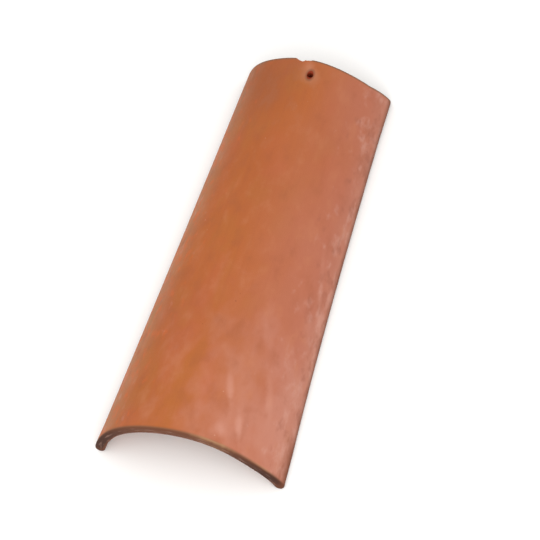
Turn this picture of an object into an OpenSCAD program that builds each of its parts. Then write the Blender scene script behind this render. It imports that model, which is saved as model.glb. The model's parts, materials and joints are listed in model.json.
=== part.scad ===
// Tapered barrel roof tile: half-round fired clay, wide at the butt, narrow at the head.
// It lies on its two feet, +Y runs from the butt to the head, and Z = 0 is the floor.
// The wall's section is one rounded bar. It sweeps round the barrel's axis to make the
// arch, and turns half round its own middle line to make each foot.

/* [Barrel] */
// Length from the butt to the head, along the barrel's axis
tile_len = 457; // [300:1:600]
// Overall width across the feet at the butt, the wide end
butt_w = 200; // [180:1:260]
// Overall width across the feet at the head, the narrow end
head_w = 157; // [120:1:175]
// Height of the crown above the floor at the butt
butt_rise = 84; // [60:1:90]
// Thickness of the clay wall
wall = 10.5; // [9:0.5:16]
// Radius that rounds the edges of both ends
edge_r = 2.5; // [1:0.5:4]
// Width of the flat strip that each foot rests on
foot_w = 6; // [3:0.5:8]

/* [Nail hole] */
// Diameter of the hole for the fixing nail
nail_d = 6; // [4:0.5:10]
// Distance from the head's edge to the middle of the hole
nail_inset = 19.5; // [12:0.5:40]
// Distance of the hole from the crown line, round the outside towards +X
nail_side = 5.5; // [-15:0.5:15]

/* [Edge chip] */
// Width of the chip along the head's edge
chip_w = 15; // [8:0.5:20]
// How far the chip runs down from the head's edge
chip_depth = 3.5; // [1.5:0.5:4]
// How deep the chip goes into the wall from the outside
chip_bite = 7.5; // [3:0.5:8]
// Distance of the chip from the crown line, round the outside towards +X
chip_side = -6.5; // [-40:0.5:40]

/* [Hidden] */
$fn = 96;
clay = "#BC7049";
// Distance that a cutter runs past what it cuts
past = 5;
// Step from the wall's faces in to each round foot, too small to see
foot_step = 0.05;

// Radius of each round foot, and the height of its middle line above the floor
foot_r = wall / 2 - foot_step;
foot_z = sqrt(pow(foot_r, 2) - pow(foot_w / 2, 2));
// Distance of each foot's middle line from the centre plane, at the two ends
butt_foot_x = (butt_w - wall) / 2;
head_foot_x = (head_w - wall) / 2;
// Angle from the crown to a foot's middle line, the same all along the barrel
half_arch = 2 * atan((butt_rise - wall / 2 - foot_z) / butt_foot_x);
// Radius to the middle of the wall, at the two ends
butt_r = butt_foot_x / sin(half_arch);
head_r = head_foot_x / sin(half_arch);
// Angle between the wall and the barrel's axis, and the wall's own length
taper = atan((butt_r - head_r) / tile_len);
bar_len = tile_len / cos(taper);
// Angle that the axis rises towards the head, so that both feet lie level
tilt = atan((butt_r - head_r) * cos(half_arch) / tile_len);
// Middle of the length, between the crown at the butt and the feet at the head
mid_y = (tile_len * cos(tilt) - (butt_r + head_r * cos(half_arch)) * sin(tilt)) / 2;

// The chip is a bite out of a ball: its radius where it meets the outer face, then
// how far its centre stands off that face
chip_face_r = (pow(chip_w / 2, 2) + pow(chip_depth, 2)) / (2 * chip_depth);
chip_stand = (pow(chip_face_r, 2) - pow(chip_bite, 2)) / (2 * chip_bite);

// Half of the wall's section, from its middle line to one face, with rounded ends;
// inset draws it smaller all round
module half_section(inset = 0) {
    face_x = wall / 2 - inset;
    head_y = bar_len - inset;
    translate([0, inset + edge_r]) square([face_x, head_y - inset - 2 * edge_r]);
    translate([0, inset]) square([face_x - edge_r, head_y - inset]);
    for (end_y = [inset + edge_r, head_y - edge_r])
        intersection() {
            translate([face_x - edge_r, end_y]) circle(edge_r);
            translate([0, end_y - 2 * edge_r]) square(4 * edge_r);
        }
}

// Puts children on the wall's middle line at the butt, this angle round from the
// crown, with Z along the wall and X along its outward normal
module on_wall(angle) {
    rotate([0, 0, angle]) translate([butt_r, 0, 0]) rotate([0, -taper, 0]) children();
}

// The arch between the two feet
module arch() {
    rotate([0, 0, -half_arch]) rotate_extrude(angle = 2 * half_arch)
        translate([butt_r, 0]) rotate(taper) {
            half_section();
            mirror([1, 0]) half_section();
        }
}

// The round bar along one edge of the arch, whose outer half is the foot
module foot(side) {
    on_wall(side * half_arch) rotate_extrude() half_section(wall / 2 - foot_r);
}

// The nail's bore, square through the wall
module nail_hole() {
    outer_r = butt_r - (bar_len - nail_inset) * sin(taper) + wall / 2;
    on_wall(nail_side / outer_r * 180 / PI)
        translate([0, 0, bar_len - nail_inset]) rotate([0, 90, 0])
            cylinder(d = nail_d, h = wall + 2 * past, center = true);
}

// The bite that is missing from the outer corner of the head's edge
module edge_chip() {
    on_wall(chip_side / (head_r + wall / 2) * 180 / PI)
        translate([wall / 2 + chip_stand, 0, bar_len + chip_face_r - chip_depth])
            sphere(chip_stand + chip_bite);
}

// Stands the barrel from its own axis onto its feet, crown up and head towards +Y
module laid_down() {
    translate([0, -mid_y, foot_z - butt_r * cos(half_arch) * cos(tilt)])
        rotate([tilt, 0, 0]) rotate([-90, 0, 0]) rotate([0, 0, -90]) children();
}

// The whole tile, one solid of clay
module barrel_tile() {
    color(clay) difference() {
        laid_down() difference() {
            union() {
                arch();
                for (side = [-1, 1]) foot(side);
            }
            nail_hole();
            edge_chip();
        }
        // The floor trims both feet to their flat strips
        translate([-butt_w, -tile_len, -wall]) cube([2 * butt_w, 2 * tile_len, wall]);
    }
}

barrel_tile();
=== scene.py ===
"""A tapered barrel roof tile of unglazed terracotta, lying crown up on its two long edges.

The tile is made the way a tiler makes one: a tapered slab of clay is rolled flat, its nail
hole is punched, and it is bent over a tapered form and set down on its feet. All sizes are
in metres and angles in radians unless a name says otherwise.
"""

from __future__ import annotations

import json
import logging
import math
from dataclasses import dataclass, field
from enum import Enum

import bmesh
import bpy
import numpy as np
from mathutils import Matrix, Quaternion, Vector


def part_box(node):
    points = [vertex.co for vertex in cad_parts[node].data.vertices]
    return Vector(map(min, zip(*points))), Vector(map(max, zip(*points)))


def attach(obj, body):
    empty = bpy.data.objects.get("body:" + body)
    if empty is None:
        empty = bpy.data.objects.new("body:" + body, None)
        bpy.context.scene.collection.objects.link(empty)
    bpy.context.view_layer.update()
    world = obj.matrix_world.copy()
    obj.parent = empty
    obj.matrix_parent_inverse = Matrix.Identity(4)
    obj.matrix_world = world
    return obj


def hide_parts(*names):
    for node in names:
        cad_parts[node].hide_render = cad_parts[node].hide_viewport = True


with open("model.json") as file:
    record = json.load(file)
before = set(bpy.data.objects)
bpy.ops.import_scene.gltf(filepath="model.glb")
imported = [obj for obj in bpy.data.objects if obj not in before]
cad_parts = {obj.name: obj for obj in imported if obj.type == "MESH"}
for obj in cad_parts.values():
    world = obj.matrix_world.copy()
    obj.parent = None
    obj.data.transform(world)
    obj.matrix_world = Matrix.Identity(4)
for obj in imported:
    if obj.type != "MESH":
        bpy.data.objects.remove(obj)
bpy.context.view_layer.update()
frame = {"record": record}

LOG = logging.getLogger("tile")
MM = 0.001
# angle between the tile's length and the way that it was brushed in handling
BRUSH_SLANT = math.radians(17)
# keeps a division by a distance of nothing finite
TINY = 1e-12
# points of the slab closer than this are sewn into one
WELD = 0.01 * MM
# colours of the marks that come more than once
CHALK = "#C48F7D"
# pale tan of the painted highlight on the butt's rounded rim
RIM_HIGHLIGHT = "#B08862"

# Sockets of a Mix node that blends two colours
MIX_FACTOR, MIX_A, MIX_B, MIX_COLOUR = 0, 6, 7, 2

Tree = bpy.types.NodeTree
Socket = bpy.types.NodeSocket
# A node's input is fed by another node's output, or holds a plain value
Feed = Socket | float | int | tuple | str
# A pattern's size along each of three coordinates
Extent = tuple[float, float, float]


def linear(code: str) -> tuple[float, float, float, float]:
    """Turns an sRGB colour code into linear light.

    Args:
        code: a colour such as "#B96A42".

    Returns:
        Red, green, blue and an alpha of 1.
    """
    channels = [int(code[i : i + 2], 16) / 255 for i in (1, 3, 5)]
    light = [c / 12.92 if c <= 0.04045 else ((c + 0.055) / 1.055) ** 2.4 for c in channels]
    return (*light, 1.0)


def add_node(
    tree: Tree,
    kind: str,
    settings: dict[str, object] | None = None,
    feeds: dict[int | str, Feed] | None = None,
) -> bpy.types.Node:
    """Adds one node to a shader or geometry tree.

    Args:
        tree: the tree that gets the node.
        kind: the node's type, such as "ShaderNodeMath".
        settings: the node's own properties and their values.
        feeds: for an input's name or index, the value it holds or the output that feeds it.

    Returns:
        The new node.
    """
    node = tree.nodes.new(kind)
    for name, value in (settings or {}).items():
        setattr(node, name, value)
    for key, feed in (feeds or {}).items():
        if isinstance(feed, Socket):
            tree.links.new(feed, node.inputs[key])
        else:
            node.inputs[key].default_value = feed
    return node


class Skin(Enum):
    """The two broad faces of the clay wall, by the sign of their distance from its middle."""

    OUTER = 1
    INNER = -1


@dataclass(frozen=True)
class Barrel:
    """The tapered half-round form of the tile.

    A point of the clay is given on the flat slab first: u round the wall from the crown
    line, v along the wall from the butt, and w out from the wall's middle.
    """

    length: float
    butt_width: float
    head_width: float
    rise: float
    wall: float
    foot_strip: float = 6 * MM
    edge_radius: float = 2.5 * MM

    @classmethod
    def from_frame(cls, low: Vector, high: Vector, mounts: dict[str, dict]) -> Barrel:
        """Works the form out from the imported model.

        Args:
            low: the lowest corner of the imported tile.
            high: its highest corner.
            mounts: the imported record's mounts by name.

        Returns:
            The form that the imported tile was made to.
        """
        wall = mounts["nail_hole"]["dims"]["length_mm"] * MM
        butt_width = high.x - low.x
        # the feet run straight, so their distance halfway is the mean of the two ends'
        head_foot = 2 * mounts["foot_right"]["pos_m"][0] - (butt_width - wall) / 2
        return cls(high.y - low.y, butt_width, 2 * head_foot + wall, high.z, wall)

    @property
    def half_wall(self) -> float:
        """Distance from the wall's middle to either face, and the radius of a foot."""
        return self.wall / 2

    @property
    def foot_height(self) -> float:
        """Height of a foot's middle line above the floor."""
        return math.sqrt(self.half_wall**2 - (self.foot_strip / 2) ** 2)

    @property
    def half_arch(self) -> float:
        """Angle from the crown to a foot's middle line."""
        span = (self.butt_width - self.wall) / 2
        return 2 * math.atan((self.rise - self.half_wall - self.foot_height) / span)

    @property
    def butt_radius(self) -> float:
        """Radius to the wall's middle at the butt."""
        return (self.butt_width - self.wall) / 2 / math.sin(self.half_arch)

    @property
    def head_radius(self) -> float:
        """Radius to the wall's middle at the head."""
        return (self.head_width - self.wall) / 2 / math.sin(self.half_arch)

    @property
    def taper(self) -> float:
        """Angle between the wall and the barrel's axis."""
        return math.atan((self.butt_radius - self.head_radius) / self.length)

    @property
    def tilt(self) -> float:
        """Angle that the axis rises towards the head, so that the feet lie level."""
        drop = (self.butt_radius - self.head_radius) * math.cos(self.half_arch)
        return math.atan(drop / self.length)

    @property
    def wall_length(self) -> float:
        """Length of the wall from the butt's edge to the head's, measured up the slope."""
        # the raised crown leans back past the feet at the butt
        return (self.length - self.rise * math.sin(self.tilt)) / math.cos(self.taper)

    @property
    def middle(self) -> float:
        """Finds the middle of the tile's box.

        Returns:
            Its distance from the butt, measured level.
        """
        leans = self.butt_radius + self.head_radius * math.cos(self.half_arch)
        run = self.wall_length * math.cos(self.taper)
        return (run * math.cos(self.tilt) - leans * math.sin(self.tilt)) / 2

    @property
    def lift(self) -> float:
        """Height of the barrel's axis above the floor at the butt; it is below it."""
        return self.foot_height - self.butt_radius * math.cos(self.half_arch) * math.cos(self.tilt)

    def radius(self, v: np.ndarray | float) -> np.ndarray | float:
        """Radius to the wall's middle, this far along the wall from the butt."""
        return self.butt_radius - v * math.sin(self.taper)

    def half_span(self, v: np.ndarray | float) -> np.ndarray | float:
        """Distance round the wall from the crown to a foot's middle line."""
        return self.half_arch * self.radius(v)


@dataclass(frozen=True)
class NailHole:
    """The hole punched through the crown for the fixing nail, in slab coordinates."""

    u: float
    v: float
    radius: float
    # the punch drags the clay's skin down into the hole, and pushes up a burr where it comes out
    lip: float = 0.7 * MM
    burr: float = 2.0 * MM
    # the lattice round the hole: rings in its mouth, how far it stays truly round as a share
    # of the mouth, and where it is square again
    rings: int = 4
    true_share: float = 1.05
    spread: float = 11 * MM

    @classmethod
    def from_mount(cls, mount: dict, barrel: Barrel) -> NailHole:
        """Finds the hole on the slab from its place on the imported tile.

        Args:
            mount: the hole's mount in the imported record.
            barrel: the form that the slab is bent over.

        Returns:
            The hole as it is punched in the flat slab.
        """
        x, y, z = mount["pos_m"]
        back, up = y + barrel.middle, z - barrel.lift
        axial = back * math.cos(barrel.tilt) + up * math.sin(barrel.tilt)
        above = up * math.cos(barrel.tilt) - back * math.sin(barrel.tilt)
        v = axial / math.cos(barrel.taper)
        return cls(math.atan2(x, above) * barrel.radius(v), v, mount["dims"]["r_mm"] * MM)

    @property
    def mouth(self) -> float:
        """Radius where the lip meets the face of the clay."""
        return self.radius + self.lip

    @property
    def step(self) -> float:
        """Spacing of the slab's lattice round the hole."""
        return self.mouth / self.rings


@dataclass(frozen=True)
class EdgeChip:
    """A bite missing from the outer corner of the head's edge: part of a ball's surface."""

    u: float
    width: float
    depth: float
    bite: float
    # a shell-shaped break has low ribs across it
    rib_height: float = 0.25 * MM
    rib_width: float = 1.0 * MM

    @property
    def face_radius(self) -> float:
        """Radius of the ball where it meets the outer face."""
        return ((self.width / 2) ** 2 + self.depth**2) / (2 * self.depth)

    @property
    def stand_off(self) -> float:
        """Distance of the ball's centre above the outer face."""
        return (self.face_radius**2 - self.bite**2) / (2 * self.bite)

    @property
    def ball_radius(self) -> float:
        """Radius of the ball itself."""
        return self.stand_off + self.bite

    def centre(self, barrel: Barrel) -> np.ndarray:
        """Centre of the ball in slab coordinates."""
        v = barrel.wall_length + self.face_radius - self.depth
        return np.array([self.u, v, barrel.half_wall + self.stand_off])


@dataclass(frozen=True)
class HandCut:
    """The waver of a cut made by hand with a wire, as a wave along the cut."""

    height: float
    width: float
    start: float


@dataclass
class PatchMesh:
    """A closed skin sewn together from rectangular patches of points."""

    points: list[np.ndarray] = field(default_factory=list)
    faces: list[np.ndarray] = field(default_factory=list)
    count: int = 0

    def add(self, patch: np.ndarray, keep: np.ndarray | None = None) -> None:
        """Adds a patch of quads.

        Args:
            patch: rows by columns of points.
            keep: for each quad, whether it is clay; all of them if left out.
        """
        rows, columns = patch.shape[:2]
        index = self.count + np.arange(rows * columns).reshape(rows, columns)
        corners = (index[:-1, :-1], index[:-1, 1:], index[1:, 1:], index[1:, :-1])
        quads = np.stack(corners, axis=-1)
        self.faces.append(quads[keep] if keep is not None else quads.reshape(-1, 4))
        self.points.append(patch.reshape(-1, 3))
        self.count += rows * columns

    def to_mesh(self, name: str) -> bpy.types.Mesh:
        """Sews the patches where they meet, and turns every face outwards.

        Args:
            name: the new mesh's name.

        Returns:
            One closed mesh.
        """
        mesh = bpy.data.meshes.new(name)
        points, faces = np.concatenate(self.points), np.concatenate(self.faces)
        mesh.from_pydata(points.tolist(), [], faces.tolist())
        sheet = bmesh.new()
        sheet.from_mesh(mesh)
        bmesh.ops.remove_doubles(sheet, verts=sheet.verts, dist=WELD)
        loose = [vert for vert in sheet.verts if not vert.link_faces]
        bmesh.ops.delete(sheet, geom=loose, context="VERTS")
        bmesh.ops.recalc_face_normals(sheet, faces=sheet.faces)
        sheet.to_mesh(mesh)
        sheet.free()
        return mesh


def square_to_disc(across: np.ndarray, along: np.ndarray) -> tuple[np.ndarray, np.ndarray]:
    """Draws nested squares into nested circles of the same half width.

    Args:
        across: distances from the centre one way.
        along: distances from the centre the other way.

    Returns:
        The two distances after the corners are drawn in.
    """
    reach = np.maximum(np.abs(across), np.abs(along))
    far = np.maximum(np.hypot(across, along), TINY)
    return across * reach / far, along * reach / far


def smooth_step(low: float, high: float, value: np.ndarray) -> np.ndarray:
    """Rises smoothly from 0 at low to 1 at high."""
    t = np.clip((value - low) / (high - low), 0, 1)
    return t * t * (3 - 2 * t)


@dataclass(frozen=True)
class ClaySlab:
    """The flat tapered slab, with its punched hole, rounded rims and chipped edge."""

    barrel: Barrel
    hole: NailHole
    chips: tuple[EdgeChip, ...]
    # lattice spacing round the wall and along it, away from the hole and the edges
    pitch_u: float = 1.5 * MM
    pitch_v: float = 2.3 * MM
    fine_reach: float = 16 * MM
    rim_rows: int = 5
    wall_rows: int = 11
    butt_cut: HandCut = HandCut(height=0.4 * MM, width=17 * MM, start=0.7)
    head_cut: HandCut = HandCut(height=0.4 * MM, width=13 * MM, start=2.6)
    # the head's +X corner runs out past the rest
    spur: float = 5 * MM
    spur_width: float = 32 * MM
    # power by which a cut's unevenness fades away from its end
    fade: int = 8

    def _stations(self, start: float, stop: float, pitch: float) -> np.ndarray:
        """Evenly spaced places between two others, without the last."""
        count = max(1, round(abs(stop - start) / pitch))
        return np.linspace(start, stop, count, endpoint=False)

    def _columns(self) -> np.ndarray:
        """Chooses the slab's columns.

        Returns:
            Places round the wall, in distances measured at the hole's own station.
        """
        span = self.barrel.half_span(self.hole.v)
        step, centre, half = self.hole.step, self.hole.u, self.barrel.half_wall
        left = min(centre - self.fine_reach, *(chip.u - chip.width for chip in self.chips))
        left = centre - step * math.ceil((centre - left) / step)
        right = centre + step * math.ceil(self.fine_reach / step)
        turn = np.linspace(0, math.pi / 2, self.rim_rows + 1)[1:]
        foot = half * np.sin(turn)
        return np.concatenate([
            -span - foot[::-1],
            self._stations(-span, left, self.pitch_u),
            np.arange(left, right - step / 2, step),
            self._stations(right, span, self.pitch_u),
            [span],
            span + foot,
        ])

    def _rows(self) -> np.ndarray:
        """Chooses the slab's rows.

        Returns:
            Places along the wall from the butt to the head.
        """
        end, rim = self.barrel.wall_length, self.barrel.edge_radius
        step, centre = self.hole.step, self.hole.v
        turn = np.linspace(0, math.pi / 2, self.rim_rows, endpoint=False)
        ease = rim * (1 - np.cos(turn))
        near = centre - step * math.ceil(self.fine_reach / step)
        past = centre + step * math.floor((end - rim - centre) / step)
        return np.concatenate([
            ease,
            self._stations(rim, near, self.pitch_v),
            np.arange(near, past - step / 2, step),
            self._stations(past, end - rim, step),
            [end - rim],
            end - ease[::-1],
        ])

    def _layers(self) -> np.ndarray:
        """Places through the wall, closer together near its faces."""
        turn = np.linspace(-math.pi / 2, math.pi / 2, self.wall_rows)
        return self.barrel.half_wall * np.sin(turn)

    def _fan(self, column: np.ndarray, v: np.ndarray) -> np.ndarray:
        """Spreads the columns so that they follow the taper, and keeps the feet's width.

        Args:
            column: distances round the wall measured at the hole's station.
            v: distances along the wall.

        Returns:
            The distances round the wall at each v.
        """
        span = self.barrel.half_span(self.hole.v)
        inside = np.clip(column, -span, span)
        return inside * self.barrel.radius(v) / self.barrel.radius(self.hole.v) + column - inside

    def _round_feet(self, points: np.ndarray) -> None:
        """Rounds both long edges fully, in place.

        Args:
            points: points of the slab.
        """
        u, v, w = np.moveaxis(points, -1, 0)
        span = self.barrel.half_span(v)
        past = np.maximum(np.abs(u) - span, 0)
        out, level = square_to_disc(past, w)
        points[..., 0] = np.where(past > 0, np.sign(u) * (span + out), u)
        points[..., 2] = np.where(past > 0, level, w)

    def _round_ends(self, points: np.ndarray) -> None:
        """Rounds the rims of the butt and the head to the edge radius, in place.

        Args:
            points: points of the slab.
        """
        rim, half = self.barrel.edge_radius, self.barrel.half_wall
        end = self.barrel.wall_length
        u, v, w = np.moveaxis(points, -1, 0)
        span = self.barrel.half_span(v)
        past = np.maximum(np.abs(u) - span, 0)
        depth = np.maximum(np.hypot(past, w), TINY)
        outer = np.maximum(depth - (half - rim), 0)
        butt, head = np.maximum(rim - v, 0), np.maximum(v - (end - rim), 0)
        outer_new, along_new = square_to_disc(outer, butt + head)
        scale = (np.minimum(depth, half - rim) + outer_new) / depth
        near_end = (butt + head > 0) & (outer > 0)
        points[..., 0] = np.where(near_end & (past > 0), np.sign(u) * (span + past * scale), u)
        points[..., 2] = np.where(near_end, w * scale, w)
        points[..., 1] = np.where(near_end & (butt > 0), rim - along_new, points[..., 1])
        points[..., 1] = np.where(near_end & (head > 0), end - rim + along_new, points[..., 1])

    def _open_hole(self, points: np.ndarray) -> None:
        """Draws the lattice round the nail hole into circles and heaps its burr, in place.

        Args:
            points: points of the slab.
        """
        across, along = points[..., 0] - self.hole.u, points[..., 1] - self.hole.v
        reach = np.maximum(np.abs(across), np.abs(along))
        circle = square_to_disc(across, along)
        pull = 1 - smooth_step(self.hole.mouth * self.hole.true_share, self.hole.spread, reach)
        points[..., 0] += pull * (circle[0] - across)
        points[..., 1] += pull * (circle[1] - along)
        heap = (1 - smooth_step(self.hole.mouth, self.hole.spread, reach)) ** 2
        points[..., 2] -= np.where(points[..., 2] < 0, self.hole.burr * heap, 0)

    def _bite_chip(self, points: np.ndarray, chip: EdgeChip) -> np.ndarray:
        """Pushes the clay back to the ball that broke a chip out, in place.

        Args:
            points: points of the slab.
            chip: the chip to break out.

        Returns:
            1 where the point is on the broken face, else 0.
        """
        offset = points - chip.centre(self.barrel)
        far = np.linalg.norm(offset, axis=-1)
        inside = far < chip.ball_radius
        ribs = chip.rib_height * np.sin(offset[..., 0] / chip.rib_width)
        ribs *= np.cos(offset[..., 2] / chip.rib_width)
        reach = (chip.ball_radius + ribs) / np.maximum(far, TINY)
        pushed = chip.centre(self.barrel) + offset * reach[..., None]
        points[inside] = pushed[inside]
        return inside.astype(float)

    def _wave_ends(self, points: np.ndarray) -> None:
        """Leaves both cut ends slightly uneven and one corner of the head long, in place.

        Args:
            points: points of the slab.
        """
        share = points[..., 1] / self.barrel.wall_length
        for cut, near in ((self.butt_cut, 1 - share), (self.head_cut, share)):
            wave = cut.height * np.sin(points[..., 0] / cut.width + cut.start)
            points[..., 1] += near**self.fade * wave
        span = self.barrel.half_span(points[..., 1])
        corner = np.clip((points[..., 0] - span) / self.spur_width + 1, 0, 1)
        points[..., 1] += self.spur * corner * share**self.fade

    def _hole_wall(self, mouth: np.ndarray, way_out: np.ndarray) -> np.ndarray:
        """Makes the wall of the punched hole, with a rounded lip at both faces.

        Args:
            mouth: the ring of points where the hole opens in the outer face.
            way_out: the matching ring in the inner face.

        Returns:
            A patch whose rows run from the outer ring to the inner one.
        """
        top, lip = self.barrel.half_wall, self.hole.lip
        bottom = -top - self.hole.burr
        turn = np.linspace(0, math.pi / 2, self.rim_rows)
        drop = lip * (1 - np.cos(turn))
        draw = lip * (1 - np.sin(turn))
        down = np.linspace(top - lip, bottom + lip, self.rim_rows + 2)[1:-1]
        levels = np.concatenate([top - drop, down, bottom + drop[::-1]])
        radii = self.hole.radius + np.concatenate([draw, np.zeros(len(down)), draw[::-1]])
        centre = np.array([self.hole.u, self.hole.v])
        heading = mouth[:, :2] - centre
        heading /= np.linalg.norm(heading, axis=1, keepdims=True)
        wall = np.empty((len(levels), len(mouth), 3))
        wall[..., :2] = centre + radii[:, None, None] * heading
        wall[..., 2] = levels[:, None]
        wall[0], wall[-1] = mouth, way_out
        return wall

    def _skin(self, side: Skin) -> tuple[np.ndarray, np.ndarray, np.ndarray]:
        """Makes one broad face.

        Args:
            side: which face of the wall.

        Returns:
            Its points, which of its quads are clay, and the ring round the nail hole.
        """
        columns, rows = self._columns(), self._rows()
        v, column = np.meshgrid(rows, columns, indexing="ij")
        w = np.full_like(v, side.value * self.barrel.half_wall)
        face = np.stack([self._fan(column, v), v, w], axis=-1)
        in_u = np.abs((columns[:-1] + columns[1:]) / 2 - self.hole.u) < self.hole.mouth
        in_v = np.abs((rows[:-1] + rows[1:]) / 2 - self.hole.v) < self.hole.mouth
        first_u, last_u = np.flatnonzero(in_u)[[0, -1]]
        first_v, last_v = np.flatnonzero(in_v)[[0, -1]]
        self._open_hole(face)
        box = face[first_v : last_v + 2, first_u : last_u + 2]
        ring = np.concatenate([box[0, :-1], box[:-1, -1], box[-1, :0:-1], box[::-1, 0]])
        return face, ~(in_v[:, None] & in_u[None, :]), ring

    def build(self) -> bpy.types.Mesh:
        """Builds the slab as one closed mesh.

        Returns:
            The slab's mesh. Its "slab" attribute keeps each point's place on the flat before
            it was cut and chipped, its "turn" attribute is the angle from the crown that the
            point will bend to, and its "broken" attribute is 1 in the chip.
        """
        shell = PatchMesh()
        rings = []
        for side in Skin:
            face, keep, ring = self._skin(side)
            shell.add(face, keep)
            rings.append(ring)
        shell.add(self._hole_wall(*rings))
        columns, rows, layers = self._columns(), self._rows(), self._layers()
        for column in (columns[0], columns[-1]):
            v, w = np.meshgrid(rows, layers, indexing="ij")
            shell.add(np.stack([self._fan(np.full_like(v, column), v), v, w], axis=-1))
        for row in (rows[0], rows[-1]):
            w, column = np.meshgrid(layers, columns, indexing="ij")
            v = np.full_like(w, row)
            shell.add(np.stack([self._fan(column, v), v, w], axis=-1))
        mesh = shell.to_mesh("clay_slab")
        points = np.empty(len(mesh.vertices) * 3)
        mesh.vertices.foreach_get("co", points)
        points = points.reshape(-1, 3)
        self._round_feet(points)
        self._round_ends(points)
        flat = mesh.attributes.new("slab", "FLOAT_VECTOR", "POINT")
        flat.data.foreach_set("vector", points.ravel())
        broken = np.max([self._bite_chip(points, chip) for chip in self.chips], axis=0)
        mesh.attributes.new("broken", "FLOAT", "POINT").data.foreach_set("value", broken)
        self._wave_ends(points)
        turn = points[:, 0] / self.barrel.radius(points[:, 1])
        mesh.attributes.new("turn", "FLOAT", "POINT").data.foreach_set("value", turn)
        mesh.vertices.foreach_set("co", points.ravel())
        mesh.update()
        return mesh


def mottling(
    tree: Tree, space: Socket, size: Extent, seed: float, detail: float = 2.0
) -> Socket:
    """Adds a random pattern of soft patches to a shader or geometry tree.

    Args:
        tree: the tree that gets the nodes.
        space: the coordinates that the pattern is laid out in, in metres.
        size: the patches' size along each coordinate, in metres.
        seed: which of the many such patterns.
        detail: how many finer octaves break the patches up.

    Returns:
        A value round 0.5, mostly between 0.3 and 0.7.
    """
    cells = add_node(tree, "ShaderNodeVectorMath", {"operation": "DIVIDE"}, {0: space, 1: size})
    feeds = {"Vector": cells.outputs[0], "W": seed, "Scale": 1.0, "Detail": detail}
    return add_node(tree, "ShaderNodeTexNoise", {"noise_dimensions": "4D"}, feeds).outputs[0]


@dataclass(frozen=True)
class Tint:
    """One colour of the fired clay, and where it lies."""

    # what decides where it lies, and its values where the tint is absent and where it is full
    guide: Socket
    absent: float
    full: float
    colour: str
    cover: float


@dataclass(frozen=True)
class Mark:
    """A soft-edged patch of one colour on the tile's face, in slab coordinates."""

    u: float
    v: float
    width: float
    length: float
    colour: str
    cover: float
    slant: float = 0.0


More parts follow.
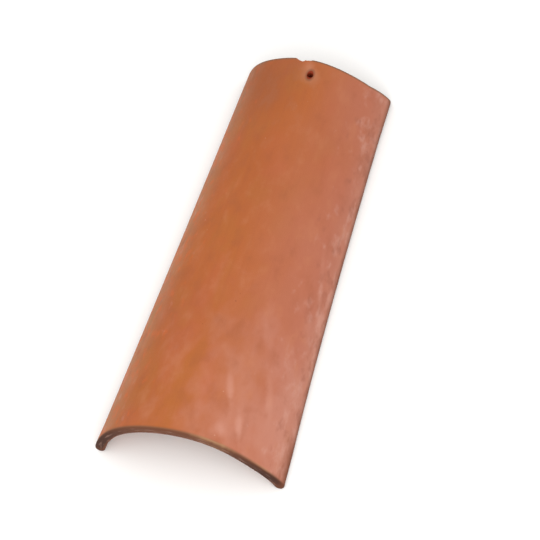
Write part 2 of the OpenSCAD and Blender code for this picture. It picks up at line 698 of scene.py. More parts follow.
@dataclass(frozen=True)
class Terracotta:
    """Unglazed earthenware, struck smooth by hand and fired to a dull orange-brown.

    The eye sees a chalky surface with almost no gloss, clouded where the fire reached it
    unevenly: orange-brown over one half, and over the other a salmon tone that is partly fire
    colour and partly painted sheen, with more painted sheen near the butt's +X corner and a
    painted highlight on the butt's rim; olive dusting with orange flecks low on the -X flank,
    pale scuffs from handling, and painted shade on the cut ends (also darker in their own
    colour), along the feet, over the inner face and round the hole.
    """

    body: str = "#A45A2E"
    cloud: str = "#98522E"
    flush: str = "#AC593C"
    ochre: str = "#9F612E"
    # salmon over the +X side: partly colour from the fire, partly painted sheen where the light falls
    bloom_and_sheen: str = "#A7644E"
    # pale pink of the painted sheen, and of the pale flecks along both borders
    haze: str = "#BB8979"
    # pale greyish pink: dusting dragged along the cut ends, and painted sheen low on the +X flank
    dust_and_sheen: str = "#B58F7F"
    smudge_dark: str = "#8D4E33"
    smudge_pale: str = "#B37352"
    halo: str = "#AC745A"
    border: str = "#8E5340"
    olive: str = "#9C8064"
    ember: str = "#C25C2C"
    rim: str = "#7E5A40"
    # dark brown of the cut ends, partly their own colour and partly painted shade; also the colour of
    # the painted shade along the feet and round the hole's mouth
    cut: str = "#5F3928"
    # near-black brown of the painted shade on the steep parts of the butt's cut end
    shade_on_cut: str = "#321C16"
    # greyer brown of the painted shade over the inner face, beneath the arch
    inner_shade: str = "#985C40"
    # dark red of the hole's inside, also painted round its mouth as shade
    bore: str = "#7E2A10"
    fresh: str = "#AD603B"
    grit_dark: str = "#6F3D29"
    grit_pale: str = "#C4937A"

    roughness_low: float = 0.68
    roughness_high: float = 0.82
    specular: float = 0.15
    cloud_size: float = 80 * MM
    smudge_size: float = 17 * MM
    fleck_size: Extent = (10 * MM, 16 * MM, 10 * MM)
    ember_size: Extent = (7 * MM, 12 * MM, 7 * MM)
    drag_size: Extent = (16 * MM, 3 * MM, 2.5 * MM)
    stroke_width: float = 5 * MM
    stroke_length: float = 150 * MM
    # how far the clouds and the flecks shift a tint's edge, as an angle round the tile
    wander_turn: float = 1.2
    fleck_turn: float = 3.0
    # the painted sheen is thickest here, on the slab, and thins by the fade below over its reach
    sheen_u: float = 92 * MM
    sheen_v: float = 55 * MM
    sheen_reach: float = 120 * MM
    sheen_fade: float = 0.3
    marks: tuple[Mark, ...] = (
        # the head's -X half is darker
        Mark(-55 * MM, 445 * MM, 130 * MM, 190 * MM, "#7C4630", 0.4),
        # something chalky brushed along the tile
        Mark(36 * MM, 60 * MM, 9 * MM, 50 * MM, CHALK, 0.35, BRUSH_SLANT),
        Mark(56 * MM, 25 * MM, 10 * MM, 44 * MM, CHALK, 0.4, BRUSH_SLANT),
        Mark(40 * MM, 17 * MM, 14 * MM, 22 * MM, CHALK, 0.3, BRUSH_SLANT),
        Mark(74 * MM, 76 * MM, 12 * MM, 70 * MM, CHALK, 0.2, BRUSH_SLANT),
        Mark(100 * MM, 190 * MM, 10 * MM, 160 * MM, CHALK, 0.2, BRUSH_SLANT),
        # painted shade on the flank behind the butt's +X corner, down along the foot
        Mark(132 * MM, 38 * MM, 34 * MM, 92 * MM, "#763C22", 0.85),
        # painted highlight along the butt's rounded rim, in two places
        Mark(37 * MM, 2 * MM, 50 * MM, 5 * MM, RIM_HIGHLIGHT, 0.6),
        Mark(96 * MM, 3 * MM, 30 * MM, 4 * MM, RIM_HIGHLIGHT, 0.2),
        # the head's rim is dull beside the chip, and its face pale between chip and hole
        Mark(-38 * MM, 457 * MM, 60 * MM, 9 * MM, "#735B48", 0.65),
        Mark(1 * MM, 449 * MM, 15 * MM, 17 * MM, "#BC8064", 0.4),
    )
    # a mark is gone this many half widths out, and the smudges fray its edge by this much
    mark_reach: float = 1.2
    fray: float = 2.0
    halo_reach: float = 17 * MM
    # the painted shade round the hole's mouth is drawn out along the tile by this squash
    hole_shade_squash: float = 0.6
    # a grain of sand is finer than this, but would not show
    grain: float = 0.9 * MM
    grit_spacing: float = 6 * MM
    grit_variety: float = 0.35
    pit_spacing: float = 9 * MM
    # height and strength of the fine relief, and the weight of the hair-fine strokes in it
    relief: float = 0.3 * MM
    relief_strength: float = 0.6
    hair_share: float = 0.6

    def _grit(self, tree: Tree, space: Socket, spacing: float, seed: float) -> Socket:
        """Scatters grains of unequal size through the clay.

        Args:
            tree: the material's tree.
            space: the coordinates that they are scattered in.
            spacing: distance between grains.
            seed: which of the many such scatters.

        Returns:
            A value that falls below 0.2 inside a grain.
        """
        feeds = {"Vector": space, "W": seed, "Scale": 1 / spacing}
        cells = add_node(tree, "ShaderNodeTexVoronoi", {"voronoi_dimensions": "4D"}, feeds).outputs
        feeds = {0: cells["Color"], 1: self.grit_variety, 2: cells["Distance"]}
        return add_node(tree, "ShaderNodeMath", {"operation": "MULTIPLY_ADD"}, feeds).outputs[0]

    def _patterns(self, tree: Tree, space: Socket, slab: Socket) -> dict[str, Socket]:
        """Lays out the random patterns that the colours follow.

        Args:
            tree: the material's tree.
            space: coordinates in the laid tile.
            slab: coordinates on the flat slab.

        Returns:
            The patterns by name.
        """
        size, smudge = self.cloud_size, self.smudge_size
        # each pattern's coordinates, size, seed and detail
        table = {
            "clouds": (space, (size, size * 1.6, size), 1.0, 2.0),
            "flush": (space, (size / 2, size, size / 2), 2.0, 2.0),
            "ochre": (space, (size / 3, size / 2, size / 3), 12.0, 3.0),
            "strokes": (slab, (self.stroke_width, self.stroke_length, size), 3.0, 3.0),
            "smudges": (space, (smudge, smudge * 1.5, smudge), 10.0, 3.0),
            "wander": (space, (size, size * 1.5, size), 4.0, 3.0),
            "pale flecks": (slab, self.fleck_size, 11.0, 3.0),
            "brown flecks": (slab, self.fleck_size, 13.0, 3.0),
            "orange flecks": (slab, self.ember_size, 15.0, 3.0),
            "streaks": (slab, self.drag_size, 14.0, 3.0),
        }
        patterns = {name: mottling(tree, *row) for name, row in table.items()}
        for name, seed in (("dark grit", 1.0), ("pale grit", 9.0)):
            patterns[name] = self._grit(tree, space, self.grit_spacing, seed)
        return patterns

    def _guides(
        self, tree: Tree, space: Socket, slab: Socket, barrel: Barrel, hole: NailHole
    ) -> dict[str, Socket]:
        """Works out the values that decide where each colour of the clay lies.

        Args:
            tree: the material's tree.
            space: coordinates in the laid tile.
            slab: coordinates on the flat slab.
            barrel: the tile's form.
            hole: its nail hole.

        Returns:
            The values by name, the random patterns among them.
        """
        rim, end, squash = barrel.edge_radius, barrel.wall_length, self.hole_shade_squash
        guides = self._patterns(tree, space, slab)
        for name in ("broken", "turn"):
            settings = {"attribute_name": name}
            guides[name] = add_node(tree, "ShaderNodeAttribute", settings).outputs["Fac"]
        place = add_node(tree, "ShaderNodeSeparateXYZ", None, {0: slab}).outputs
        guides |= {"along": place["Y"], "outward": place["Z"]}
        guides["height"] = add_node(tree, "ShaderNodeSeparateXYZ", None, {0: space}).outputs["Z"]
        # distances on the slab: how it is squashed first, and the spot it is measured from
        spots = {
            "from sheen": ((1.0, 1.0, 1.0), (self.sheen_u, self.sheen_v, barrel.half_wall)),
            "from hole": ((1.0, 1.0, 0.0), (hole.u, hole.v, 0.0)),
            "from hole shade": ((1.0, squash, 0.0), (hole.u, squash * hole.v, 0.0)),
        }
        for name, (scale, spot) in spots.items():
            feeds = {0: slab, 1: scale}
            level = add_node(tree, "ShaderNodeVectorMath", {"operation": "MULTIPLY"}, feeds).outputs[0]
            feeds = {0: level, 1: spot}
            far = add_node(tree, "ShaderNodeVectorMath", {"operation": "DISTANCE"}, feeds)
            guides[name] = far.outputs["Value"]
        # each value below is worked out from earlier ones, which it names, and from numbers
        steps = {
            "steep": ("ABSOLUTE", "turn"),
            "off middle": ("SUBTRACT", "along", end / 2),
            "from middle": ("ABSOLUTE", "off middle"),
            # 0 at both cut ends, and below 0 between them
            "past end": ("SUBTRACT", "from middle", end / 2),
            # drives the salmon over the +X side, which is partly painted sheen
            "drift": ("MULTIPLY_ADD", "wander", self.wander_turn, "turn"),
            "pale border": ("MULTIPLY_ADD", "pale flecks", self.fleck_turn, "steep"),
            "brown border": ("MULTIPLY_ADD", "brown flecks", self.fleck_turn, "steep"),
            # the clay low on the -X flank kept more of its first orange
            "embers": ("MULTIPLY_ADD", "orange flecks", -self.fleck_turn, "turn"),
            # the wire dragged grit along both cut ends
            "drag": ("MULTIPLY_ADD", "past end", 1 / rim, "streaks"),
            # painted shade on the steep parts of the butt's cut end
            "cut shade": ("MULTIPLY_ADD", "along", -1 / (2 * rim), "steep"),
            # painted sheen, strongest round a spot near the butt's +X side
            "haze": ("MULTIPLY_ADD", "from sheen", -self.sheen_fade / self.sheen_reach, "ochre"),
            "halo": ("MULTIPLY_ADD", "smudges", 2 * self.halo_reach, "from hole"),
        }
        for name, (operation, *values) in steps.items():
            feeds = {index: guides.get(value, value) for index, value in enumerate(values)}
            guides[name] = add_node(tree, "ShaderNodeMath", {"operation": operation}, feeds).outputs[0]
        return guides

    def _mark_tints(self, tree: Tree, slab: Socket, smudges: Socket, half: float) -> list[Tint]:
        """Lays the soft-edged marks on the outer face.

        Args:
            tree: the material's tree.
            slab: coordinates on the flat slab.
            smudges: the pattern that frays the marks' edges.
            half: distance from the wall's middle to the face.

        Returns:
            One tint for each mark.
        """
        tints = []
        for mark in self.marks:
            feeds = {
                "Vector": slab,
                "Location": (mark.u, mark.v, half),
                "Rotation": (0.0, 0.0, mark.slant),
                "Scale": (mark.width / 2, mark.length / 2, 1.0),
            }
            near = add_node(tree, "ShaderNodeMapping", {"vector_type": "TEXTURE"}, feeds).outputs[0]
            far = add_node(tree, "ShaderNodeVectorMath", {"operation": "LENGTH"}, {0: near})
            feeds = {0: smudges, 1: self.fray, 2: far.outputs["Value"]}
            edge = add_node(tree, "ShaderNodeMath", {"operation": "MULTIPLY_ADD"}, feeds).outputs[0]
            # the smudges' mean is 0.5, so fray / 2 is a mark's middle
            absent, full = self.mark_reach + self.fray / 2, self.fray / 2
            tints.append(Tint(edge, absent, full, mark.colour, mark.cover))
        return tints

    def _tints(
        self, tree: Tree, space: Socket, slab: Socket, barrel: Barrel, hole: NailHole
    ) -> list[Tint]:
        """Lays the colours of the clay over each other.

        Args:
            tree: the material's tree.
            space: coordinates in the laid tile.
            slab: coordinates on the flat slab.
            barrel: the tile's form.
            hole: its nail hole.

        Returns:
            The tints from the bottom layer up.
        """
        rim, half, bore = barrel.edge_radius, barrel.half_wall, hole.radius
        on = self._guides(tree, space, slab, barrel, hole)
        return [
            Tint(on["clouds"], 0.4, 0.7, self.cloud, 0.4),
            Tint(on["flush"], 0.45, 0.7, self.flush, 0.35),
            Tint(on["ochre"], 0.52, 0.35, self.ochre, 0.3),
            Tint(on["strokes"], 0.45, 0.7, self.cloud, 0.2),
            # salmon over the +X side: partly fire colour, partly painted sheen
            Tint(on["drift"], 0.35, 1.9, self.bloom_and_sheen, 1.0),
            # painted sheen near the butt's +X side
            Tint(on["haze"], 0.1, 0.6, self.haze, 0.35),
            Tint(on["smudges"], 0.5, 0.75, self.smudge_dark, 0.3),
            Tint(on["smudges"], 0.5, 0.25, self.smudge_pale, 0.3),
            Tint(on["turn"], -0.55, -1.15, self.olive, 0.5),
            # paler low on the +X flank: partly pale dusting, partly painted sheen
            Tint(on["turn"], 0.9, 1.4, self.dust_and_sheen, 0.2),
            Tint(on["pale border"], 2.5, 3.3, self.haze, 0.5),
            Tint(on["brown border"], 2.6, 3.3, self.border, 0.55),
            Tint(on["embers"], -2.2, -3.0, self.ember, 0.45),
            Tint(on["dark grit"], 0.2, 0.1, self.grit_dark, 0.5),
            Tint(on["pale grit"], 0.2, 0.1, self.grit_pale, 0.45),
            Tint(on["halo"], 2 * self.halo_reach, self.halo_reach, self.halo, 0.5),
            # painted shade over the inner face and the inner half of the wall's edges, beneath the arch
            Tint(on["outward"], 0.0, -half, self.inner_shade, 0.8),
            Tint(on["past end"], -1.6 * rim, -rim / 2, self.rim, 0.8),
            # the butt's end, then both cut ends, darker: partly their own colour, partly painted shade
            Tint(on["along"], 2 * rim, 0.0, self.cut, 0.6),
            Tint(on["past end"], -rim, -rim / 5, self.cut, 0.85),
            # painted shade on the steep parts of the butt's cut end
            Tint(on["cut shade"], 0.3, 1.1, self.shade_on_cut, 0.75),
            Tint(on["drag"], 0.52, 0.7, self.dust_and_sheen, 0.3),
            *self._mark_tints(tree, slab, on["smudges"], half),
            # more painted shade on the inner face and the inner third of the wall's edges
            Tint(on["outward"], -half / 3, -half, self.inner_shade, 0.4),
            # painted shade low on the tile, along the feet near the floor
            Tint(on["height"], 2.4 * half, half / 3, self.cut, 0.85),
            # painted shade round the nail hole's mouth, drawn out along the tile, darkest in the hole
            Tint(on["from hole shade"], 1.9 * bore, 1.1 * bore, self.cut, 0.55),
            Tint(on["from hole shade"], 1.2 * bore, 0.95 * bore, self.bore, 0.97),
            Tint(on["broken"], 0.0, 1.0, self.fresh, 0.9),
        ]

    def _relief(self, tree: Tree, space: Socket, slab: Socket) -> Socket:
        """Adds relief too fine for the mesh: sandy grain, hair-fine strokes and pin holes.

        Args:
            tree: the material's tree.
            space: coordinates in the laid tile.
            slab: coordinates on the flat slab.

        Returns:
            The bumped surface direction.
        """
        grain = mottling(tree, space, (self.grain,) * 3, 6.0, 4.0)
        hairs = mottling(tree, slab, (self.stroke_width / 3, self.stroke_length / 3, 1.0), 7.0)
        feeds = {0: hairs, 1: self.hair_share, 2: grain}
        both = add_node(tree, "ShaderNodeMath", {"operation": "MULTIPLY_ADD"}, feeds)
        pits = self._grit(tree, space, self.pit_spacing, 4.0)
        feeds = {"Value": pits, "From Min": 0.05, "From Max": 0.2, "To Min": -0.8, "To Max": 0.0}
        sunk = add_node(tree, "ShaderNodeMapRange", None, feeds).outputs[0]
        height = add_node(tree, "ShaderNodeMath", None, {0: both.outputs[0], 1: sunk}).outputs[0]
        feeds = {"Strength": self.relief_strength, "Distance": self.relief, "Height": height}
        return add_node(tree, "ShaderNodeBump", None, feeds).outputs[0]

    def make(self, barrel: Barrel, hole: NailHole) -> bpy.types.Material:
        """Makes the finish as a material.

        Args:
            barrel: the tile's form.
            hole: its nail hole.

        Returns:
            The fired clay.
        """
        clay = bpy.data.materials.new("fired_terracotta")
        clay.use_nodes = True
        tree = clay.node_tree
        tree.nodes.clear()
        space = add_node(tree, "ShaderNodeTexCoord").outputs["Object"]
        slab = add_node(tree, "ShaderNodeAttribute", {"attribute_name": "slab"}).outputs["Vector"]
        colour: Feed = linear(self.body)
        for tint in self._tints(tree, space, slab, barrel, hole):
            feeds = {
                "Value": tint.guide,
                "From Min": tint.absent,
                "From Max": tint.full,
                "To Max": tint.cover,
            }
            mask = add_node(tree, "ShaderNodeMapRange", {"interpolation_type": "SMOOTHSTEP"}, feeds)
            feeds = {MIX_FACTOR: mask.outputs[0], MIX_A: colour, MIX_B: linear(tint.colour)}
            colour = add_node(tree, "ShaderNodeMix", {"data_type": "RGBA"}, feeds).outputs[MIX_COLOUR]
        worn = mottling(tree, space, (self.cloud_size / 3,) * 3, 8.0)
        feeds = {
            "Value": worn,
            "From Min": 0.3,
            "From Max": 0.7,
            "To Min": self.roughness_low,
            "To Max": self.roughness_high,
        }
        rough = add_node(tree, "ShaderNodeMapRange", None, feeds).outputs[0]
        feeds = {
            "Base Color": colour,
            "Roughness": rough,
            "Normal": self._relief(tree, space, slab),
            "Specular IOR Level": self.specular,
        }
        surface = add_node(tree, "ShaderNodeBsdfPrincipled", None, feeds)
        add_node(tree, "ShaderNodeOutputMaterial", None, {"Surface": surface.outputs[0]})
        return clay


@dataclass(frozen=True)
class Settling:
    """A place where the wet clay stood off its form, or sank on to it, before it dried."""

    turn: float
    along: float
    reach_turn: float
    reach_along: float
    height: float


@dataclass(frozen=True)
class ClayTile:
    """The whole tile: the slab bent over the form, finished and set on its feet."""

    barrel: Barrel
    hole: NailHole
    finish: Terracotta

    # one knock broke out a steep shell and, on either side of it, a shallower one
    chips: tuple[EdgeChip, ...] = (
        EdgeChip(-19 * MM, 14 * MM, 1.7 * MM, 3.3 * MM),
        EdgeChip(-8.6 * MM, 13.6 * MM, 4.6 * MM, 7.2 * MM),
        EdgeChip(-2.4 * MM, 12 * MM, 3 * MM, 5.4 * MM),
    )

    # drying draws the feet in halfway along, more on the +X side
    waist_left: float = 0.007
    waist_right: float = 0.025
    # heights and sizes of the soft unevenness left by the hands, of the strokes along the
    # outer face, and of the roughness of the inner face, which lay on a sanded form
    swell: float = 0.5 * MM
    swell_size: Extent = (60 * MM, 110 * MM, 1.0)
    stroke: float = 0.12 * MM
    stroke_size: Extent = (4 * MM, 150 * MM, 1.0)
    sanding: float = 0.5 * MM
    sanding_size: Extent = (6 * MM, 6 * MM, 1.0)
    seed: float = 7.0
    sharp_angle: float = math.radians(38)

    def _settlings(self) -> list[Settling]:
        """Lists where the clay left the true barrel as it dried.

        Returns:
            The places, at the head first and then at the butt.
        """
        foot, end = self.barrel.half_arch, self.barrel.wall_length
        return [
            Settling(0.56 * foot, end, 0.48 * foot, 0.3 * end, -3.2 * MM),
            Settling(foot, end, 0.3 * foot, 0.12 * end, 0.8 * MM),
            Settling(-0.6 * foot, end, 0.35 * foot, 0.08 * end, 1.0 * MM),
            Settling(-0.33 * foot, 0.0, 0.5 * foot, 0.2 * end, 1.0 * MM),
            Settling(0.7 * foot, 0.0, 0.4 * foot, 0.15 * end, -2.4 * MM),
            Settling(-foot, 0.0, 0.2 * foot, 0.06 * end, 0.8 * MM),
            Settling(foot, 0.0, 0.3 * foot, 0.3 * end, 0.8 * MM),
        ]

    def _sizes(self) -> dict[str, float]:
        """Names the sizes that the bending tree takes.

        Returns:
            The tree's inputs and their values.
        """
        barrel = self.barrel
        return {
            "Butt Radius": barrel.butt_radius,
            "Wall Length": barrel.wall_length,
            "Taper": barrel.taper,
            "Tilt": barrel.tilt,
            "Butt Place": -barrel.middle,
            "Axis Height": barrel.lift,
            "Left Waist": self.waist_left,
            "Right Waist": self.waist_right,
            "Swell": self.swell,
            "Stroke": self.stroke,
            "Sanding": self.sanding,
        }

    def _settle(
        self, tree: Tree, given: bpy.types.NodeOutputs, slab: Socket, turn: Socket
    ) -> Socket:
        """Adds the nodes that make the slab's thickness direction uneven.

        Args:
            tree: the geometry tree.
            given: the tree's inputs.
            slab: each point's place on the flat slab.
            turn: the angle from the crown that each point bends to.

        Returns:
            How far each point stands off the form.
        """
        along = add_node(tree, "ShaderNodeSeparateXYZ", None, {0: slab}).outputs["Y"]
        spot = add_node(tree, "ShaderNodeCombineXYZ", None, {"X": turn, "Y": along}).outputs[0]
        hand = mottling(tree, slab, self.swell_size, self.seed, 1.0)
        feeds = {0: hand, 1: 0.5}
        level = add_node(tree, "ShaderNodeMath", {"operation": "SUBTRACT"}, feeds).outputs[0]
        feeds = {0: level, 1: given["Swell"]}
        total = add_node(tree, "ShaderNodeMath", {"operation": "MULTIPLY"}, feeds).outputs[0]
        for place in self._settlings():
            feeds = {0: spot, 1: (place.turn, place.along, 0.0)}
            off = add_node(tree, "ShaderNodeVectorMath", {"operation": "SUBTRACT"}, feeds).outputs[0]
            feeds = {0: off, 1: (place.reach_turn, place.reach_along, 1.0)}
            share = add_node(tree, "ShaderNodeVectorMath", {"operation": "DIVIDE"}, feeds).outputs[0]
            far = add_node(tree, "ShaderNodeVectorMath", {"operation": "LENGTH"}, {0: share})
            feeds = {"Value": far.outputs["Value"], "To Min": place.height, "To Max": 0.0}
            lift = add_node(tree, "ShaderNodeMapRange", {"interpolation_type": "SMOOTHSTEP"}, feeds)
            total = add_node(tree, "ShaderNodeMath", None, {0: total, 1: lift.outputs[0]}).outputs[0]
        return total

    def _bend(
        self, tree: Tree, given: bpy.types.NodeOutputs, place: Socket, turn: Socket
    ) -> Socket:
        """Adds the nodes that wrap the flat slab round the tapered form.

        Args:
            tree: the geometry tree.
            given: the tree's inputs.
            place: a point of the slab.
            turn: the angle from the crown that it bends to.

        Returns:
            The point's place on the laid tile.
        """
        _, v, w = add_node(tree, "ShaderNodeSeparateXYZ", None, {0: place}).outputs
        flat = add_node(tree, "ShaderNodeCombineXYZ", None, {"Y": v, "Z": w}).outputs[0]
        feeds = {"Vector": flat, "Angle": given["Taper"]}
        settings = {"rotation_type": "X_AXIS", "invert": True}
        sloped = add_node(tree, "ShaderNodeVectorRotate", settings, feeds).outputs[0]
        out = add_node(tree, "ShaderNodeCombineXYZ", None, {"Z": given["Butt Radius"]}).outputs[0]
        raised = add_node(tree, "ShaderNodeVectorMath", None, {0: sloped, 1: out}).outputs[0]
        feeds = {"Vector": raised, "Angle": turn}
        curled = add_node(tree, "ShaderNodeVectorRotate", {"rotation_type": "Y_AXIS"}, feeds).outputs[0]
        feeds = {"Vector": curled, "Angle": given["Tilt"]}
        tipped = add_node(tree, "ShaderNodeVectorRotate", {"rotation_type": "X_AXIS"}, feeds).outputs[0]
        feeds = {"Y": given["Butt Place"], "Z": given["Axis Height"]}
        shift = add_node(tree, "ShaderNodeCombineXYZ", None, feeds).outputs[0]
        return add_node(tree, "ShaderNodeVectorMath", None, {0: tipped, 1: shift}).outputs[0]

    def _draw_in(
        self, tree: Tree, given: bpy.types.NodeOutputs, slab: Socket, laid: Socket
    ) -> Socket:
        """Adds the nodes that narrow the tile halfway along.

        Args:
            tree: the geometry tree.
            given: the tree's inputs.
            slab: each point's place on the flat slab.
            laid: its place on the laid tile.

        Returns:
            Its place once the feet are drawn in.
        """
        u, v, _ = add_node(tree, "ShaderNodeSeparateXYZ", None, {0: slab}).outputs
        feeds = {"Value": v, "From Max": given["Wall Length"], "To Max": math.pi}
        phase = add_node(tree, "ShaderNodeMapRange", None, feeds).outputs[0]
        arch = add_node(tree, "ShaderNodeMath", {"operation": "SINE"}, {0: phase}).outputs[0]
        reach = self.barrel.half_wall
        feeds = {
            "Value": u,
            "From Min": -reach,
            "From Max": reach,
            "To Min": given["Left Waist"],
            "To Max": given["Right Waist"],
        }
        waist = add_node(tree, "ShaderNodeMapRange", None, feeds).outputs[0]
        feeds = {0: arch, 1: waist}
        drawn = add_node(tree, "ShaderNodeMath", {"operation": "MULTIPLY"}, feeds).outputs[0]
        kept = add_node(tree, "ShaderNodeMath", {"operation": "SUBTRACT"}, {0: 1.0, 1: drawn}).outputs[0]
        scale = add_node(tree, "ShaderNodeCombineXYZ", None, {"X": kept, "Y": 1.0, "Z": 1.0}).outputs[0]
        feeds = {0: laid, 1: scale}
        return add_node(tree, "ShaderNodeVectorMath", {"operation": "MULTIPLY"}, feeds).outputs[0]

    def _mark_faces(self, tree: Tree, given: bpy.types.NodeOutputs, slab: Socket) -> Socket:
        """Adds the nodes that leave strokes on the outer face and sand marks on the inner.

        Args:
            tree: the geometry tree.
            given: the tree's inputs.
            slab: each point's place on the flat slab.

        Returns:
            How far each point moves.
        """
        off_middle = add_node(tree, "ShaderNodeSeparateXYZ", None, {0: slab}).outputs["Z"]
        strokes = mottling(tree, slab, self.stroke_size, self.seed + 1, 1.0)
        sand = mottling(tree, slab, self.sanding_size, self.seed + 2, 2.0)
        depth: Feed = 0.0
        for pattern, amount, skin in (
            (strokes, "Stroke", Skin.OUTER),
            (sand, "Sanding", Skin.INNER),
        ):
            feeds = {
                "Value": off_middle,
                "From Max": skin.value * self.barrel.half_wall,
                "To Max": given[amount],
            }
            share = add_node(tree, "ShaderNodeMapRange", None, feeds).outputs[0]
            level = add_node(tree, "ShaderNodeMath", {"operation": "SUBTRACT"}, {0: pattern, 1: 0.5})
            feeds = {0: level.outputs[0], 1: share, 2: depth}
            depth = add_node(tree, "ShaderNodeMath", {"operation": "MULTIPLY_ADD"}, feeds).outputs[0]
        normal = add_node(tree, "GeometryNodeInputNormal").outputs[0]
        feeds = {0: normal, "Scale": depth}
        return add_node(tree, "ShaderNodeVectorMath", {"operation": "SCALE"}, feeds).outputs[0]

    def _bend_tree(self) -> Tree:
        """Builds the tree that bends the slab, marks its face by hand and sets it down.

        Returns:
            A geometry tree with a named input for each size.
        """
        tree = bpy.data.node_groups.new("bend over the form", "GeometryNodeTree")
        sockets = tree.interface
        sockets.new_socket("Slab", in_out="INPUT", socket_type="NodeSocketGeometry")
        for name in self._sizes():
            sockets.new_socket(name, in_out="INPUT", socket_type="NodeSocketFloat")
        sockets.new_socket("Clay", in_out="INPUT", socket_type="NodeSocketMaterial")
        sockets.new_socket("Tile", in_out="OUTPUT", socket_type="NodeSocketGeometry")
        given = add_node(tree, "NodeGroupInput").outputs
        place = add_node(tree, "GeometryNodeInputPosition").outputs[0]
        settings = {"data_type": "FLOAT_VECTOR"}
        slab = add_node(tree, "GeometryNodeInputNamedAttribute", settings, {"Name": "slab"}).outputs[0]
        turn = add_node(tree, "GeometryNodeInputNamedAttribute", None, {"Name": "turn"}).outputs[0]
        stands = self._settle(tree, given, slab, turn)
        off_form = add_node(tree, "ShaderNodeCombineXYZ", None, {"Z": stands}).outputs[0]
        feeds = {"Geometry": given["Slab"], "Offset": off_form}
        settled = add_node(tree, "GeometryNodeSetPosition", None, feeds).outputs[0]
        laid = self._draw_in(tree, given, slab, self._bend(tree, given, place, turn))
        bent = add_node(tree, "GeometryNodeSetPosition", None, {"Geometry": settled, "Position": laid})
        mark = self._mark_faces(tree, given, slab)
        feeds = {"Geometry": bent.outputs[0], "Offset": mark}
        struck = add_node(tree, "GeometryNodeSetPosition", None, feeds).outputs[0]
        # the feet are pressed flat on the floor; a metre to the sides is past the tile
        feeds = {0: place, 1: (-1.0, -1.0, 0.0)}
        above = add_node(tree, "ShaderNodeVectorMath", {"operation": "MAXIMUM"}, feeds).outputs[0]
        stood = add_node(tree, "GeometryNodeSetPosition", None, {"Geometry": struck, "Position": above})
        real = add_node(tree, "GeometryNodeRealizeInstances", None, {0: stood.outputs[0]})
        feeds = {"Geometry": real.outputs[0], "Material": given["Clay"]}
        dressed = add_node(tree, "GeometryNodeSetMaterial", None, feeds)
        add_node(tree, "NodeGroupOutput", None, {0: dressed.outputs[0]})
        return tree

    def build(self) -> bpy.types.Object:
        """Builds the tile and dresses it.

        Returns:
            The finished piece, at rest on its feet.
        """
        slab = ClaySlab(self.barrel, self.hole, self.chips)
        tile = bpy.data.objects.new("clay_tile", slab.build())
        bpy.context.scene.collection.objects.link(tile)
        tree = self._bend_tree()
        bending = tile.modifiers.new("bend over the form", "NODES")
        bending.node_group = tree
        values = self._sizes() | {"Clay": self.finish.make(self.barrel, self.hole)}
        for socket in tree.interface.items_tree:
            if socket.name in values:
                bending[socket.identifier] = values[socket.name]
        graph = bpy.context.evaluated_depsgraph_get()
        mesh = bpy.data.meshes.new_from_object(tile.evaluated_get(graph), depsgraph=graph)
        tile.modifiers.remove(bending)
        tile.data = mesh
        mesh.name = "clay_tile"
        mesh.shade_smooth()
        mesh.set_sharp_from_angle(angle=self.sharp_angle)
        return tile


@dataclass(frozen=True)
class Lamp:
    """A soft rectangular lamp, placed by its direction from the tile."""

    name: str
    azimuth: float
    elevation: float
    distance: float
    size: float
    power: float
    colour: str = "#FFFFFF"


def heading(azimuth: float, elevation: float) -> Vector:
    """Gives the direction from the tile to a camera or lamp.

    Args:
        azimuth: angle round the tile in degrees; at 0 it stands before the butt.
        elevation: angle above the floor in degrees.

    Returns:
        A unit vector.
    """
    turn, rise = math.radians(azimuth), math.radians(elevation)
    level = math.cos(rise)
    return Vector((math.sin(turn) * level, -math.cos(turn) * level, math.sin(rise)))


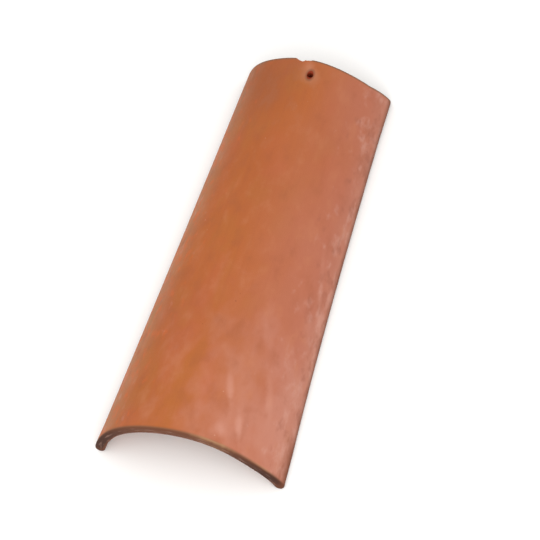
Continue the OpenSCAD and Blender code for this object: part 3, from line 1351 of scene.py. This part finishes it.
@dataclass(frozen=True)
class Studio:
    """A pale floor, soft lamps and a long lens that looks down along the tile."""

    centre: Vector
    floor_size: float = 12.0
    floor_gap: float = 0.2 * MM
    floor_colour: str = "#F6F5F3"
    floor_roughness: float = 0.9
    floor_specular: float = 0.1
    sky_colour: str = "#FFFFFF"
    sky_strength: float = 1.06
    azimuth: float = 30.78
    elevation: float = 58.94
    roll: float = -15.91
    distance: float = 3.38
    lens: float = 221.4
    # the lens looks slightly beside the tile's middle
    aside: tuple[float, float, float] = (24.6 * MM, -10.3 * MM, -1.5 * MM)
    lamps: tuple[Lamp, ...] = (
        Lamp("key", 32, 46, 1.3, 0.9, 7),
        Lamp("fill", -70, 50, 2.6, 2.0, 7),
    )

    def _stand(
        self, thing: bpy.types.Object, azimuth: float, elevation: float, distance: float
    ) -> None:
        """Puts a lamp or camera off in some direction, turned to face the tile.

        Args:
            thing: the lamp or camera.
            azimuth: angle round the tile in degrees.
            elevation: angle above the floor in degrees.
            distance: how far it stands from the tile's middle.
        """
        out = heading(azimuth, elevation)
        thing.location = self.centre + out * distance
        thing.rotation_mode = "QUATERNION"
        thing.rotation_quaternion = (-out).to_track_quat("-Z", "Y")
        bpy.context.scene.collection.objects.link(thing)

    def lay_floor(self) -> bpy.types.Object:
        """Lays the floor just below the tile's feet.

        Returns:
            The floor, staged.
        """
        half = self.floor_size / 2
        mesh = bpy.data.meshes.new("floor")
        sides = ((-1, -1), (1, -1), (1, 1), (-1, 1))
        corners = [(x * half, y * half, -self.floor_gap) for x, y in sides]
        mesh.from_pydata(corners, [], [(0, 1, 2, 3)])
        # matt white board: it bounces the light softly and shows no grain at this distance
        board = bpy.data.materials.new("matt_white_board")
        board.use_nodes = True
        shader = board.node_tree.nodes["Principled BSDF"]
        shader.inputs["Base Color"].default_value = linear(self.floor_colour)
        shader.inputs["Roughness"].default_value = self.floor_roughness
        shader.inputs["Specular IOR Level"].default_value = self.floor_specular
        mesh.materials.append(board)
        floor = bpy.data.objects.new("floor", mesh)
        bpy.context.scene.collection.objects.link(floor)
        return floor

    def hang_lamps(self) -> None:
        """Hangs the lamps and lights the sky."""
        for lamp in self.lamps:
            light = bpy.data.lights.new(lamp.name, "AREA")
            light.shape = "SQUARE"
            light.size = lamp.size
            light.energy = lamp.power
            light.color = linear(lamp.colour)[:3]
            stand = bpy.data.objects.new(lamp.name, light)
            self._stand(stand, lamp.azimuth, lamp.elevation, lamp.distance)
        world = bpy.data.worlds.new("soft white surround")
        world.use_nodes = True
        sky = world.node_tree.nodes["Background"]
        sky.inputs["Color"].default_value = linear(self.sky_colour)
        sky.inputs["Strength"].default_value = self.sky_strength
        bpy.context.scene.world = world
        bpy.context.scene.view_settings.view_transform = "Standard"

    def set_camera(self) -> None:
        """Stands the camera in front of the butt, to the right and high above it."""
        camera = bpy.data.objects.new("camera", bpy.data.cameras.new("camera"))
        camera.data.lens = self.lens
        self._stand(camera, self.azimuth, self.elevation, self.distance)
        camera.location += Vector(self.aside)
        camera.rotation_quaternion @= Quaternion((0, 0, 1), math.radians(self.roll))
        bpy.context.scene.camera = camera


def main() -> None:
    """Builds the tile from its frame, then the studio round it."""
    logging.basicConfig(level=logging.INFO, format="%(name)s: %(message)s")
    mounts = {mount["name"]: mount for mount in frame["record"]["mounts"]}
    low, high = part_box("barrel_tile")
    barrel = Barrel.from_frame(low, high, mounts)
    hole = NailHole.from_mount(mounts["nail_hole"], barrel)
    tile = ClayTile(barrel, hole, Terracotta()).build()
    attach(tile, "root")
    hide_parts("barrel_tile")
    triangles = sum(len(face.vertices) - 2 for face in tile.data.polygons)
    LOG.info("%s: %d triangles", tile.name, triangles)
    studio = Studio((low + high) / 2)
    LOG.info("%s: laid", studio.lay_floor().name)
    studio.hang_lamps()
    studio.set_camera()


if __name__ == "__main__":
    main()
